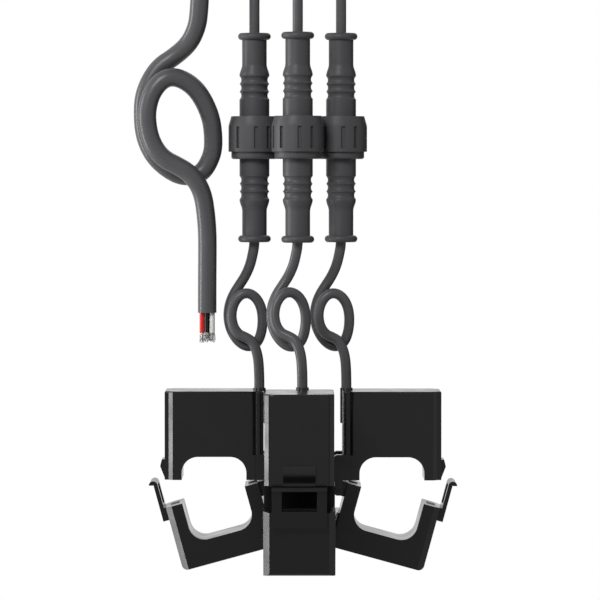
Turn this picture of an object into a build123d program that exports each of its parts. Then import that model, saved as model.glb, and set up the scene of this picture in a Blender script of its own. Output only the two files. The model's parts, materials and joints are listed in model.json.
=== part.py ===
from build123d import *
import math
import os

# Smart energy monitor, in millimetres, +Z up. A wall box carries a supply lead with bare ends and three
# sensor leads. Each sensor lead plugs in below the box and ends in a split clamp for one conductor.
# The wall is the plane y = 0, the box stands out towards -Y, and the origin is the middle of the four
# wall holes.

# Fits
slip = 0.05  # radial or face clearance of pieces that are fitted together
running = 0.08  # radial clearance of what turns or slides
press = 0.02  # radial clearance of a pin in its ears
overrun = 2.0  # how far a cut passes its face

# Wall box
box_width = 100.0
box_height = 110.0
base_depth = 42.0
gasket_thick = 1.0
cover_depth = 9.0
box_wall = 3.0
box_corner = 8.0
ear_reach = 14.0
ear_height = 16.0
ear_thick = 4.0
wall_hole_radius = 2.3
wall_hole_inset = 7.0
wall_hole_height = 40.0
column_radius = 4.5
column_inset = 7.5
cover_edge_round = 1.2

# Cover screws
screw_radius = 1.7
screw_head_radius = 3.4
screw_head_thick = 2.6
screw_bite = 12.0
screw_slot = 1.0
screw_slot_share = 0.6

# Circuit board and what it carries
board_side_gap = 14.0
board_end_gap = 13.0
board_thick = 1.6
board_lift = 6.0
board_hole_inset = 4.0
standoff_radius = 3.0
board_pin_radius = 1.3
board_pin_proud = 1.2
power_width = 26.0
power_height = 30.0
power_depth = 16.0
radio_width = 18.0
radio_height = 25.5
radio_depth = 3.2
terminal_width = 16.0
terminal_height = 9.0
terminal_depth = 11.0
terminal_count = 3
terminal_hole = 1.4
chip_size = 7.0
chip_thick = 1.2
lamp_size = 3.0
switch_size = 6.0
switch_thick = 4.0
part_edge_gap = 5.0
light_radius = 1.5
light_flange = 1.1
light_side_inset = 8.0
light_top_inset = 6.0
button_radius = 4.5
button_flange = 1.2
button_proud = 0.8
button_travel = 1.0
button_stem_radius = 1.6

# Cable glands under the box
supply_x = -25.4
sensor_pitch = 16.0
sensor_middle_x = 10.2
row_stagger = 12.0
row_share = 4 / 7  # where the two rows' middle lies in the depth of the base
small_thread = 6.0
large_thread = 8.0
small_hex = 7.2
large_hex = 9.4
gland_flange = 3.5
gland_neck = 7.5
gland_nut = 14.0
gland_nut_straight = 8.0
gland_nut_wall = 1.2
gland_seal_wall = 1.5
gland_shank = 8.0
locknut_thick = 4.0

# Cords
supply_radius = 3.45
sensor_radius = 1.9
cord_in_box = 8.0
cord_in_boot = 5.0
core_radius = 0.98
core_bare = 7.4
strand_radius = 0.62
strand_length = 3.8
core_spread = 1.85
core_front = 0.7
core_back = 1.15

# Inline connectors
boot_top = -115.1
boot_half = 38.6
rim_radius = 6.05
rim_height = 2.5
rim_edge = 0.9
barrel_radius = 4.55
barrel_end = 11.4
flare_end = 15.9
body_radius = 5.53
rib_pitch = 2.85
rib_count = 3
rib_depth = 0.65
nut_radius = 9.6
nut_length = 15.8
nut_mouth_radius = 8.6
nut_mouth_height = 3.6
nut_collar_radius = 8.55
nut_collar_height = 2.7
nut_collar_round = 0.9
nut_skirt = 1.3
nut_repeats = 5
nut_grip_length = 8.0
nut_groove_width = 1.4
nut_groove_depth = 0.8
nut_groove_angle = 21.5
nut_start_angle = -107.5
nut_lip = 3.0
spigot_radius = 7.2
spigot_length = 8.8
spigot_bore = 5.0
spigot_floor = 2.6
nose_length = 5.4
plug_flange = 2.6
seal_thick = 1.0
seal_inset = 0.6
contact_radius = 0.55
contact_length = 9.0
contact_offset = 1.8
sleeve_wall = 0.35

# Split clamp, with its parting plane at z = 0, its latch towards -X and its hinge towards +X
clamp_width = 36.4
clamp_thick = 24.9
case_height = 32.6
window_width = 23.8
window_rise = 8.5
window_drop = 15.3
window_corner = 6.0
jaw_depth = 24.3
jaw_thick = 25.8
jaw_corner = 2.0
jaw_gap = 0.15
rail_proud = 1.5
rail_width = 20.8
case_bevel = 1.5
jaw_bevel = 2.2
hinge_edge_round = 1.4
top_edge_round = 0.5
groove_inset = 2.4
groove_width = 1.8
groove_deep = 0.5
slot_inset = 2.6
slot_width = 0.6
slot_bottom = 0.8
slot_top = 8.6
cover_share_thick = 6.0
lug_width = 11.5
lug_height = 7.2
lug_widest = 4.6
lug_gap = 1.4
arm_width = 19.6
arm_gap = 0.8
arm_thick = 1.5
arm_top = 8.8
arm_bottom = 5.0
arm_curl = 0.12
arm_curl_angle = 165.0
arm_window_side = 0.5
arm_window_foot = 1.2
pivot_out = 1.5
pivot_down = 3.6
pin_radius = 1.0
ear_out = 3.2
ear_top = 9.4
ear_down = 5.6
clamp_ear_thick = 3.5
knuckle_radius = 2.0
knuckle_side_gap = 0.2
hinge_recess = 1.2
hinge_recess_down = 11.6
entry_inset = 1.6
entry_forward = 1.1
entry_boss = 2.35
entry_boss_length = 12.2
entry_boss_rise = 0.8
entry_depth = 5.0
dot_radius = 0.9
dot_proud = 0.3
dot_inset = 1.8
dot_height = 6.6
core_thick = 12.0
core_wall = 1.35
core_leg = 3.3
core_bar = 4.4
coil_build = 3.9
coil_corner = 1.5
coil_end_gap = 0.6
chamber_wall = 1.5

# Supply lead, its curve down from the foot of its gland: sideways, in depth and down. It passes behind
# itself on the way down and comes out in front at the crossing.
SUPPLY_ROUTE = [
    (0.0, 0.0, -6.0),
    (-0.2, 0.0, -20.0),
    (-0.8, 0.0, -34.7),
    (-1.7, 0.7, -40.6),
    (-4.6, 2.2, -46.5),
    (-9.9, 3.6, -51.1),
    (-15.4, 3.7, -54.6),
    (-19.1, 3.7, -59.8),
    (-21.5, 3.7, -66.1),
    (-21.8, 3.7, -72.8),
    (-21.3, 3.7, -79.4),
    (-19.4, 3.7, -85.0),
    (-16.5, 3.7, -89.4),
    (-12.4, 3.7, -92.9),
    (-8.0, 3.7, -95.3),
    (-3.2, 3.7, -95.5),
    (-0.2, 3.7, -94.2),
    (2.0, 3.7, -91.6),
    (4.2, 3.4, -86.5),
    (4.4, 2.6, -80.9),
    (3.7, 1.4, -74.6),
    (1.5, 0.1, -68.7),
    (-1.7, -1.2, -63.5),
    (-5.8, -2.4, -60.2),
    (-10.2, -3.3, -58.7),
    (-14.3, -3.8, -59.8),
    (-18.1, -3.8, -64.3),
    (-19.9, -3.8, -70.2),
    (-20.0, -3.8, -75.4),
    (-18.9, -3.8, -81.3),
    (-16.5, -3.8, -86.1),
    (-13.2, -3.8, -89.4),
    (-9.1, -3.8, -91.4),
    (-4.8, -3.8, -93.9),
    (-1.3, -3.4, -97.9),
    (0.7, -2.4, -102.7),
    (1.6, -1.3, -108.7),
    (2.2, -0.4, -116.1),
    (2.2, -0.1, -125.0),
    (2.1, 0.0, -135.2),
    (2.1, 0.0, -145.9),
]

# Sensor lead: sideways and down from the foot of its plug, with how far it lies behind (+) or in front
# (-) of its plain depth. All three leads hang in this same curve.
SENSOR_ROUTE = [
    (0.0, 0.0, -0.6),
    (-0.5, 0.0, -3.7),
    (-1.6, 0.9, -8.5),
    (-3.5, 1.9, -12.7),
    (-5.8, 2.2, -16.2),
    (-7.9, 2.2, -19.5),
    (-9.3, 2.2, -23.2),
    (-9.8, 2.2, -27.3),
    (-9.1, 2.2, -31.7),
    (-7.1, 2.2, -35.6),
    (-4.3, 2.2, -38.2),
    (-1.6, 2.2, -38.8),
    (0.9, 2.2, -37.4),
    (2.4, 1.6, -34.2),
    (3.1, 0.6, -29.5),
    (2.7, -0.3, -24.7),
    (1.1, -1.1, -21.1),
    (-1.3, -1.7, -19.0),
    (-4.0, -2.2, -18.8),
    (-6.3, -2.2, -20.4),
    (-8.0, -2.2, -23.4),
    (-8.6, -2.2, -27.2),
    (-7.9, -2.2, -31.1),
    (-5.9, -2.2, -34.0),
    (-3.2, -2.3, -35.1),
    (-0.9, -2.4, -36.5),
    (0.5, -2.4, -39.3),
    (1.4, -1.8, -43.0),
    (1.7, -0.8, -47.6),
    (1.8, 0.0, -52.4),
    (1.8, 0.0, -54.7),
]

# Place in the row, distance from the wall, how far the cord's end lies in front of its start and to its
# side, how much shorter it hangs, how the clamp turns, and how far its jaw hangs open
back_row = base_depth * row_share - row_stagger / 2
front_row = back_row + row_stagger
SENSORS = {
    "left": (-1, back_row, 0.0, 0.0, 0.0, 0.0, 15.3),
    "middle": (0, front_row, 16.5, -0.1, 1.6, 90.0, 14.3),
    "right": (1, back_row, 0.0, 0.2, 0.0, 180.0, 15.3),
}


def block(x0, x1, y0, y1, z0, z1):
    """A box between two places along each axis."""
    middle = ((x0 + x1) / 2, (y0 + y1) / 2, (z0 + z1) / 2)
    return Pos(*middle) * Box(x1 - x0, y1 - y0, z1 - z0)


def rod(radius, z0, z1, x=0, y=0):
    """A round bar along Z."""
    return Pos(x, y, (z0 + z1) / 2) * Cylinder(radius, z1 - z0)


def rod_y(radius, y0, y1, x=0, z=0):
    """A round bar along Y."""
    return Pos(x, (y0 + y1) / 2, z) * Rot(X=90) * Cylinder(radius, y1 - y0)


def ring(outer, inner, z0, z1, x=0, y=0):
    return rod(outer, z0, z1, x, y) - rod(inner, z0 - overrun, z1 + overrun, x, y)


def hexagon(flat_radius, z0, z1, x=0, y=0):
    """A hexagonal bar along Z, with its flats at flat_radius."""
    outline = RegularPolygon(flat_radius, 6, major_radius=False)
    return Pos(x, y, z0) * extrude(outline, z1 - z0)


def turned(edges):
    """A solid turned about Z from an outline of radius and height."""
    return revolve(Plane.XZ * make_face(edges), Axis.Z)


def plate(sketch, y0, y1):
    """A sketch drawn in X and Z, made solid from y0 to y1."""
    return Pos(0, y1, 0) * Rot(X=90) * extrude(sketch, y1 - y0)


def edges_along(solid, axis):
    return solid.edges().filter_by(axis)


def save(name, *pieces):
    """Write one piece, or a group of like pieces, to its own file."""
    solids = [solid for piece in pieces for solid in piece.solids()]
    export_step(solids[0] if len(solids) == 1 else Compound(children=solids), f"parts/{name}.step")


# Cords


def bends(points):
    """The radius at each inner point of a route: as large as its two runs allow."""
    radii = []
    for before, at, after in zip(points, points[1:], points[2:]):
        turn = (at - before).get_angle(after - at)
        run = min((at - before).length, (after - at).length)
        radii.append(0.45 * run / math.tan(math.radians(turn) / 2))
    return radii


def self_gap(path, radius):
    """The least gap between two turns of a tube."""
    count = int(path.length / radius)
    line = [path.position_at(i / count) for i in range(count + 1)]
    apart = int(3 * math.pi)
    near = [(a - b).length for i, a in enumerate(line) for b in line[i + apart :]]
    return min(near) - 2 * radius


def cord(name, points, radius):
    """A round cord along a route, with straight runs joined by tangent arcs."""
    points = [Vector(*point) for point in points]
    radii = bends(points)
    path = FilletPolyline(*points, radius=radii) if radii else Line(*points)
    section = Plane(points[0], z_dir=points[1] - points[0]) * Circle(radius)
    solid = sweep(section, path=path)
    plain = math.pi * radius**2 * path.length
    note = f"{name}: length {path.length:.1f}, volume {solid.volume:.1f} against {plain:.1f}"
    if radii:
        note += f", least self gap {self_gap(path, radius):.2f}"
        note += ", radii " + " ".join(f"{r:.1f}" for r in radii)
    print(note)
    return solid


# Wall box

box_depth = base_depth + gasket_thick + cover_depth
half_width = box_width / 2
half_height = box_height / 2
board_width = box_width - 2 * board_side_gap
board_height = box_height - 2 * board_end_gap
floor_z = -half_height
columns = [
    (sx * (half_width - column_inset), sz * (half_height - column_inset)) for sx in (-1, 1) for sz in (-1, 1)
]
board_back = -box_wall - board_lift
board_front = board_back - board_thick
board_holes = [
    (sx * (board_width / 2 - board_hole_inset), sz * (board_height / 2 - board_hole_inset))
    for sx in (-1, 1)
    for sz in (-1, 1)
]


power_x = -board_width / 2 + part_edge_gap + power_width / 2
power_z = board_height / 2 - board_hole_inset - part_edge_gap - power_height / 2
radio_x = board_width / 2 - part_edge_gap - radio_width / 2
radio_z = power_z
terminal_x = -board_width / 2 + part_edge_gap + terminal_width / 2
terminal_z = -board_height / 2 + board_hole_inset + part_edge_gap + terminal_height / 2
light_x = board_width / 2 - light_side_inset
light_z = board_height / 2 - light_top_inset
button_z = power_z - power_height / 2 - part_edge_gap - switch_size / 2
chip_z = button_z - switch_size / 2 - part_edge_gap - chip_size / 2


def sensor_x(place):
    return sensor_middle_x + place * sensor_pitch


def gland_places():
    """x, y, cord radius, thread radius and hexagon of each gland."""
    places = [(supply_x, -back_row, supply_radius, large_thread, large_hex)]
    for place, row, *_ in SENSORS.values():
        places.append((sensor_x(place), -row, sensor_radius, small_thread, small_hex))
    return places


def rounded_box(width, height, corner, y0, y1):
    return plate(RectangleRounded(width, height, corner), y0, y1)


def housing_base():
    inner_width = box_width - 2 * box_wall
    inner_height = box_height - 2 * box_wall
    body = rounded_box(box_width, box_height, box_corner, -base_depth, 0)
    body -= rounded_box(inner_width, inner_height, box_corner - box_wall, -base_depth - overrun, -box_wall)
    for x, z in columns:
        body += rod_y(column_radius, -base_depth, -box_wall, x, z)
    for x, z in columns:
        body -= rod_y(screw_radius + slip, -base_depth - overrun, -base_depth + screw_bite + slip, x, z)
    for sx in (-1, 1):
        for sz in (-1, 1):
            tab = Pos(sx * half_width, sz * wall_hole_height) * RectangleRounded(
                2 * ear_reach, ear_height, ear_height / 4
            )
            tab -= Pos(sx * (half_width + wall_hole_inset), sz * wall_hole_height) * Circle(wall_hole_radius)
            tab -= Rectangle(inner_width, inner_height)
            body += plate(tab, -ear_thick, 0)
    for x, z in board_holes:
        body += rod_y(standoff_radius, board_back, -box_wall, x, z)
        body += rod_y(board_pin_radius, board_front - board_pin_proud, -box_wall, x, z)
    for x, y, _, thread, hexa in gland_places():
        body -= rod(thread + slip, floor_z - overrun, floor_z + box_wall + overrun, x, y)
        room = hexa / math.cos(math.pi / 6) + slip
        body -= rod(room, floor_z + box_wall, floor_z + box_wall + locknut_thick + overrun, x, y)
    return body


def cover_gasket():
    outer = RectangleRounded(box_width, box_height, box_corner)
    inner = RectangleRounded(box_width - 2 * box_wall, box_height - 2 * box_wall, box_corner - box_wall)
    return plate(outer - inner, -base_depth - gasket_thick, -base_depth)


def housing_cover():
    back = -base_depth - gasket_thick
    inner_width = box_width - 2 * box_wall
    inner_height = box_height - 2 * box_wall
    body = rounded_box(box_width, box_height, box_corner, -box_depth, back)
    front = body.faces().sort_by(Axis.Y)[0]
    body = fillet(front.edges(), cover_edge_round)
    body -= rounded_box(inner_width, inner_height, box_corner - box_wall, -box_depth + box_wall, back + overrun)
    for x, z in columns:
        body += rod_y(column_radius, -box_depth + box_wall, back, x, z)
    for x, z in columns:
        body -= rod_y(screw_radius + running, -box_depth - overrun, back + overrun, x, z)
        body -= rod_y(screw_head_radius + running, -box_depth - overrun, -box_depth + screw_head_thick, x, z)
    body -= rod_y(button_radius + running, -box_depth - overrun, back, 0, button_z)
    body -= rod_y(light_radius + slip, -box_depth - overrun, back, light_x, light_z)
    return body


def cover_screws():
    screws = []
    for x, z in columns:
        screw = rod_y(screw_head_radius, -box_depth, -box_depth + screw_head_thick, x, z)
        screw += rod_y(screw_radius, -box_depth, -base_depth + screw_bite, x, z)
        long, wide = screw_head_radius * screw_slot_share, screw_slot / 2
        for reach_x, reach_z in ((long, wide), (wide, long)):
            slot = block(-reach_x, reach_x, -overrun, screw_slot, -reach_z, reach_z)
            screw -= Pos(x, -box_depth, z) * slot
        screws.append(screw)
    return screws


def circuit_board():
    sketch = Rectangle(board_width, board_height)
    for x, z in board_holes:
        sketch -= Pos(x, z) * Circle(board_pin_radius + slip)
    board = plate(sketch, board_front, board_back)
    chip = Rectangle(chip_size, chip_size)
    for place in SENSORS.values():
        x = sensor_x(place[0]) - chip_size / 2
        board += Pos(x, 0, chip_z) * plate(chip, board_front - chip_thick, board_front)
    lamp = Rectangle(lamp_size, lamp_size)
    board += Pos(light_x, 0, light_z) * plate(lamp, board_front - chip_thick + slip, board_front)
    switch = Rectangle(switch_size, switch_size)
    board += Pos(0, 0, button_z) * plate(switch, board_front - switch_thick, board_front)
    return board


def on_board(width, height, depth, x, z):
    return plate(Pos(x, z) * Rectangle(width, height), board_front - depth, board_front)


def terminal_block():
    body = on_board(terminal_width, terminal_height, terminal_depth, terminal_x, terminal_z)
    for i in range(terminal_count):
        x = terminal_x + (i - (terminal_count - 1) / 2) * terminal_width / terminal_count
        front = board_front - terminal_depth
        body -= rod_y(terminal_hole, front - overrun, front + terminal_hole, x, terminal_z)
        side = terminal_z - terminal_height / 2
        body -= rod(terminal_hole, side - overrun, side + terminal_hole * 2, x, front + terminal_depth / 2)
    return body


def light_pipe():
    back = -box_depth + box_wall
    pipe = rod_y(light_radius, -box_depth, board_front - chip_thick, light_x, light_z)
    return pipe + rod_y(light_radius + light_flange, back, back + light_flange, light_x, light_z)


def setup_button():
    back = -box_depth + box_wall
    foot = board_front - switch_thick - button_travel - 2 * slip
    cap = rod_y(button_radius, -box_depth - button_proud, back + button_flange, 0, button_z)
    cap += rod_y(button_radius + button_flange, back + slip, back + button_flange, 0, button_z)
    cap += rod_y(button_stem_radius, back, foot, 0, button_z)
    rim = cap.faces().sort_by(Axis.Y)[0]
    return fillet(rim.edges(), button_flange / 3)


# Cable glands


def gland_body(x, y, cord_radius, thread, hexa):
    neck_foot = floor_z - gland_flange - gland_neck
    body = hexagon(hexa, floor_z - gland_flange, floor_z, x, y)
    body += rod(thread, neck_foot, floor_z + gland_shank, x, y)
    body -= rod(cord_radius + running, neck_foot - overrun, floor_z + gland_shank + overrun, x, y)
    pocket = cord_radius + gland_seal_wall + slip
    return body - rod(pocket, neck_foot - overrun, floor_z - gland_flange, x, y)


def gland_seal(x, y, cord_radius, thread, hexa):
    neck_foot = floor_z - gland_flange - gland_neck
    return ring(cord_radius + gland_seal_wall, cord_radius + press, neck_foot, floor_z - gland_flange, x, y)


def gland_nut_at(x, y, cord_radius, thread, hexa):
    top = floor_z - gland_flange - slip
    foot = floor_z - gland_flange - gland_nut
    straight = top - gland_nut_straight
    mouth = cord_radius + gland_nut_wall
    nut = hexagon(hexa, straight, top, x, y)
    dome = turned(
        Polyline((0, straight), (hexa, straight), (thread, straight - gland_nut_wall))
        + ThreePointArc(
            (thread, straight - gland_nut_wall),
            ((thread * 2 + mouth) / 3, (straight + foot * 2) / 3),
            (mouth, foot),
        )
        + Polyline((mouth, foot), (0, foot), (0, straight))
    )
    nut += Pos(x, y) * dome
    nut -= rod(thread + running, floor_z - gland_flange - gland_neck - slip, top + overrun, x, y)
    return nut - rod(cord_radius + running, foot - overrun, top, x, y)


def gland_locknut(x, y, cord_radius, thread, hexa):
    bottom = floor_z + box_wall
    nut = hexagon(hexa - slip, bottom, bottom + locknut_thick, x, y)
    return nut - rod(thread + slip, bottom - overrun, bottom + locknut_thick + overrun, x, y)


gland_foot = floor_z - gland_flange - gland_nut


# Supply lead


def supply_points():
    inside = (supply_x, -back_row, floor_z + cord_in_box)
    return [inside] + [(supply_x + x, y - back_row, gland_foot + z) for x, y, z in SUPPLY_ROUTE]


def core_places():
    """Where the three cores leave the jacket: red, black and white."""
    x, y, z = supply_points()[-1]
    return {
        "red": (x - core_spread, y - core_front, z),
        "black": (x, y + core_back, z),
        "white": (x + core_spread, y - core_front, z),
    }


def supply_core(colour):
    x, y, z = core_places()[colour]
    return rod(core_radius, z - core_bare, z, x, y)


def core_strands():
    strands = []
    for x, y, z in core_places().values():
        end = z - core_bare
        strands.append(rod(strand_radius, end - strand_length, end, x, y))
    return strands


# Inline connectors, drawn with the middle of the mated pair at z = 0


def boot():
    """The moulded boot of one half, from its face against the nut up to its end rim."""
    top = boot_half
    rib_foot = top - flare_end - rib_count * rib_pitch
    edge = Polyline(
        (0, nut_length / 2),
        (body_radius, nut_length / 2),
        (body_radius, rib_foot),
    )
    for i in range(rib_count):
        low = rib_foot + i * rib_pitch
        edge += ThreePointArc(
            (body_radius, low),
            (body_radius - rib_depth, low + rib_pitch / 2),
            (body_radius, low + rib_pitch),
        )
    low = rib_foot + rib_count * rib_pitch
    high = top - barrel_end
    edge += Spline(
        (body_radius, low),
        (barrel_radius, high),
        tangents=((0, 1), (0, 1)),
    )
    under = top - rim_height
    edge += Polyline((barrel_radius, high), (barrel_radius, under), (rim_radius - rim_edge, under))
    edge += ThreePointArc(
        (rim_radius - rim_edge, under),
        (rim_radius, under + rim_height / 2),
        (rim_radius - rim_edge, top),
    )
    edge += Polyline((rim_radius - rim_edge, top), (0, top), (0, nut_length / 2))
    body = turned(edge)
    return body - rod(sensor_radius + slip, top - cord_in_boot, top + overrun)


spigot_foot = nut_length / 2 - spigot_length
flange_top = spigot_foot - seal_thick
flange_foot = flange_top - plug_flange
contact_places = [(-contact_offset, 0), (contact_offset, 0)]


def socket_half():
    """The upper half: its boot and the threaded spigot that the coupling nut grips."""
    body = boot() + rod(spigot_radius, spigot_foot, nut_length / 2)
    body -= rod(spigot_bore, spigot_foot - overrun, nut_length / 2 - spigot_floor)
    for x, y in contact_places:
        body -= rod(contact_radius + slip, 0, nut_length / 2, x, y)
    return body


def plug_half():
    """The lower half: its boot upside down, the flange that holds the nut, and the nose."""
    body = Rot(X=180) * boot() + rod(body_radius, -nut_length / 2, flange_top)
    body += rod(spigot_radius, flange_foot, flange_top)
    body += rod(spigot_bore - running, flange_top, flange_top + nose_length + seal_thick)
    for x, y in contact_places:
        body -= rod(contact_radius + sleeve_wall + slip, flange_foot, boot_half, x, y)
    return body


def socket_contacts():
    top = nut_length / 2
    return [rod(contact_radius, top - contact_length, top, x, y) for x, y in contact_places]


def plug_contacts():
    top = flange_top + nose_length + seal_thick
    return [
        ring(contact_radius + sleeve_wall, contact_radius + slip, flange_foot, top, x, y)
        for x, y in contact_places
    ]


def plug_seal():
    return ring(spigot_radius - seal_inset, spigot_bore + slip, flange_top, spigot_foot)


def coupling_nut():
    top = nut_length / 2
    foot = -top
    collar_top = foot + nut_collar_height
    edge = Polyline(
        (0, top),
        (nut_mouth_radius, top),
        (nut_radius, top - nut_mouth_height),
        (nut_radius, collar_top),
        (nut_collar_radius, collar_top),
        (nut_collar_radius, foot + nut_collar_round),
    )
    cut = nut_collar_round * (1 - math.sqrt(0.5))
    edge += ThreePointArc(
        (nut_collar_radius, foot + nut_collar_round),
        (nut_collar_radius - cut, foot + cut),
        (nut_collar_radius - nut_collar_round, foot),
    )
    edge += Polyline((nut_collar_radius - nut_collar_round, foot), (0, foot), (0, top))
    body = turned(edge)
    grip_foot = collar_top + nut_skirt
    groove = block(
        nut_radius - nut_groove_depth,
        nut_radius + overrun,
        -nut_groove_width / 2,
        nut_groove_width / 2,
        grip_foot,
        grip_foot + nut_grip_length,
    )
    for i in range(nut_repeats):
        middle = nut_start_angle + i * 360 / nut_repeats
        for side in (-1, 1):
            body -= Rot(Z=middle + side * nut_groove_angle) * groove
    body -= rod(spigot_radius + running, foot + nut_lip, top + overrun)
    return body - rod(body_radius + running, foot - overrun, top)


# Split clamp

half_clamp = clamp_width / 2
half_thick = clamp_thick / 2
half_window = window_width / 2
half_jaw = jaw_thick / 2
seam_y = cover_share_thick
latch_side = -half_clamp
hinge_side = half_clamp
case_side = latch_side + rail_proud
pivot_x = hinge_side + pivot_out
pivot_z = -pivot_down
chamber_half = half_window + core_wall
chamber_deep = half_thick - chamber_wall
core_bar_height = case_height - chamber_wall - coil_end_gap - coil_build - core_bar


def window_sketch(rise, drop):
    """The conductor's window in X and Z, rounded at its top and foot."""
    tall = rise + drop
    return Pos(0, (rise - drop) / 2) * RectangleRounded(window_width, tall, window_corner)


def bevelled(x0, x1, thick, bevel, round_edge, z0, z1):
    """An upright block with bevelled edges at its latch side and rounded ones at its hinge side."""
    half = thick / 2
    outline = Polyline(
        (x0, half - bevel),
        (x0, bevel - half),
        (x0 + bevel, -half),
        (x1, -half),
        (x1, half),
        (x0 + bevel, half),
        (x0, half - bevel),
    )
    solid = Pos(0, 0, z0) * extrude(make_face(outline), z1 - z0)
    corners = edges_along(solid, Axis.Z).group_by(Axis.X)[-1]
    return fillet(corners, round_edge)


def ear(y0, y1):
    """One hinge ear beside the case, round the pin."""
    tab = block(hinge_side - hinge_edge_round, hinge_side + ear_out, y0, y1, -ear_down, ear_top)
    outer = edges_along(tab, Axis.Y).group_by(Axis.X)[-1]
    tab = fillet(outer, hinge_edge_round)
    inside = block(hinge_side - overrun, hinge_side, y0 - overrun, y1 + overrun, -ear_down - overrun, 0)
    return tab - inside


def lug():
    """The catch on the latch side: a ramp that the hook's sweep just clears."""
    hook_x = pivot_x - (latch_side - arm_gap)
    hook_z = lug_height + lug_gap - pivot_z
    sweep_radius = math.hypot(hook_x, hook_z) - press

    def reach(z):
        return pivot_x - math.sqrt(sweep_radius**2 - (z - pivot_z) ** 2)

    middle = (lug_widest + lug_height) / 2
    edge = Polyline(
        (case_side, 0),
        (latch_side, 0),
        (reach(lug_widest), lug_widest),
    )
    edge += ThreePointArc(
        (reach(lug_widest), lug_widest),
        (reach(middle), middle),
        (reach(lug_height), lug_height),
    )
    edge += Polyline((reach(lug_height), lug_height), (case_side, lug_height), (case_side, 0))
    return plate(make_face(edge), -lug_width / 2, lug_width / 2)


def face_groove(side):
    """The shallow V line on a broad face, from above the window to the top."""
    face = side * half_thick
    x1 = hinge_side - groove_inset
    x0 = x1 - groove_width
    line = Polyline(
        (x0, face),
        (x1 - groove_width / 3, face - side * groove_deep),
        (x1, face),
        (x1, face + side * overrun),
        (x0, face + side * overrun),
        (x0, face),
    )
    low = slot_top + slot_width
    return Pos(0, 0, low) * extrude(make_face(line), case_height - low + overrun)


def face_slot(side):
    """The short slot beside the hinge on a broad face."""
    x1 = hinge_side - slot_inset
    face = side * half_thick
    deep = face - side * groove_deep
    y0, y1 = sorted((deep, face + side * overrun))
    return block(x1 - slot_width, x1, y0, y1, slot_bottom, slot_top)


def clamp_shell():
    """The whole upper case, before its seam parts it into a case and a cover."""
    body = bevelled(case_side, hinge_side, clamp_thick, case_bevel, hinge_edge_round, 0, case_height)
    body += block(latch_side, case_side + case_bevel, -rail_width / 2, rail_width / 2, 0, case_height)
    top = body.faces().sort_by(Axis.Z)[-1]
    body = fillet(top.edges(), top_edge_round)
    body -= plate(window_sketch(window_rise, window_drop), -half_thick - overrun, half_thick + overrun)
    body += lug()
    body += ear(-half_thick, -half_thick + clamp_ear_thick)
    body += ear(half_thick - clamp_ear_thick, half_thick)
    for side in (-1, 1):
        body -= face_groove(side)
        body -= face_slot(side)
    entry_x = hinge_side - entry_inset
    entry_y = -entry_forward
    body += rod(entry_boss, case_height - entry_boss_length, case_height + entry_boss_rise, entry_x, entry_y)
    body -= rod(sensor_radius + slip, case_height - entry_depth, case_height + overrun, entry_x, entry_y)
    dot_x = hinge_side - dot_inset
    body += rod_y(dot_radius, half_thick - dot_proud, half_thick + dot_proud, dot_x, dot_height)
    body -= rod_y(pin_radius + press, -half_thick - overrun, half_thick + overrun, pivot_x, pivot_z)
    return body - clamp_hollow()


def upper_core_sketch(gap):
    """The upper core in X and Z: two legs down to the parting plane, and the bar that the coil winds."""
    leg_out = chamber_half + core_leg + gap
    high = core_bar_height + core_bar + gap
    outer = Pos(0, (high - overrun) / 2) * Rectangle(2 * leg_out, high + overrun)
    low = core_bar_height - gap
    inner = Pos(0, (low - overrun) / 2) * Rectangle(2 * (chamber_half - gap), low + overrun + overrun)
    below = Pos(0, -overrun) * Rectangle(2 * leg_out + overrun, 2 * overrun)
    return outer - inner - below


def clamp_hollow():
    """The room in the case for the core and its coil."""
    half = core_thick / 2 + slip
    legs = plate(upper_core_sketch(slip), -half, half)
    low = window_rise + core_wall
    high = case_height - chamber_wall
    chamber = block(-chamber_half, chamber_half, -chamber_deep, chamber_deep, low, high)
    mouth = plate(Pos(0, -overrun / 2) * Rectangle(clamp_width, overrun), -half, half)
    return legs + chamber - mouth


def clamp_case(shell):
    return shell & block(-clamp_width, clamp_width, -clamp_width, seam_y, -clamp_width, 2 * clamp_width)


def clamp_cover(shell):
    return shell & block(-clamp_width, clamp_width, seam_y, clamp_width, -clamp_width, 2 * clamp_width)


def clamp_core():
    return plate(upper_core_sketch(0), -core_thick / 2, core_thick / 2)


def clamp_coil():
    long = 2 * (chamber_half - coil_end_gap)
    tall = core_bar + 2 * coil_build
    wide = core_thick + 2 * coil_build
    outer = extrude(RectangleRounded(tall, wide, coil_corner + coil_build), long)
    inner = extrude(Rectangle(core_bar + 2 * slip, core_thick + 2 * slip), long)
    middle = core_bar_height + core_bar / 2
    return Pos(-long / 2, 0, middle) * Rot(Y=90) * (outer - inner)


def lower_core_sketch(gap):
    """The lower core in X and Z, a U with its poles at the jaw's parting face."""
    leg_out = half_window + core_wall + core_leg + gap
    foot = -window_drop - core_wall - core_bar - gap
    corner = window_corner + core_wall
    outer = Pos(0, foot / 2) * RectangleRounded(2 * leg_out, -foot, corner / 2)
    outer += Pos(0, foot / 4) * Rectangle(2 * leg_out, -foot / 2)
    inner_half = half_window + core_wall - gap
    low = -window_drop - core_wall + gap
    inner = Pos(0, low / 2) * RectangleRounded(2 * inner_half, -low, corner)
    inner += Pos(0, low / 4) * Rectangle(2 * inner_half, -low / 2)
    above = Pos(0, -jaw_gap / 2) * Rectangle(2 * leg_out + overrun, jaw_gap)
    return outer - inner - above


def jaw_core():
    return plate(lower_core_sketch(0), -core_thick / 2, core_thick / 2)


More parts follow.
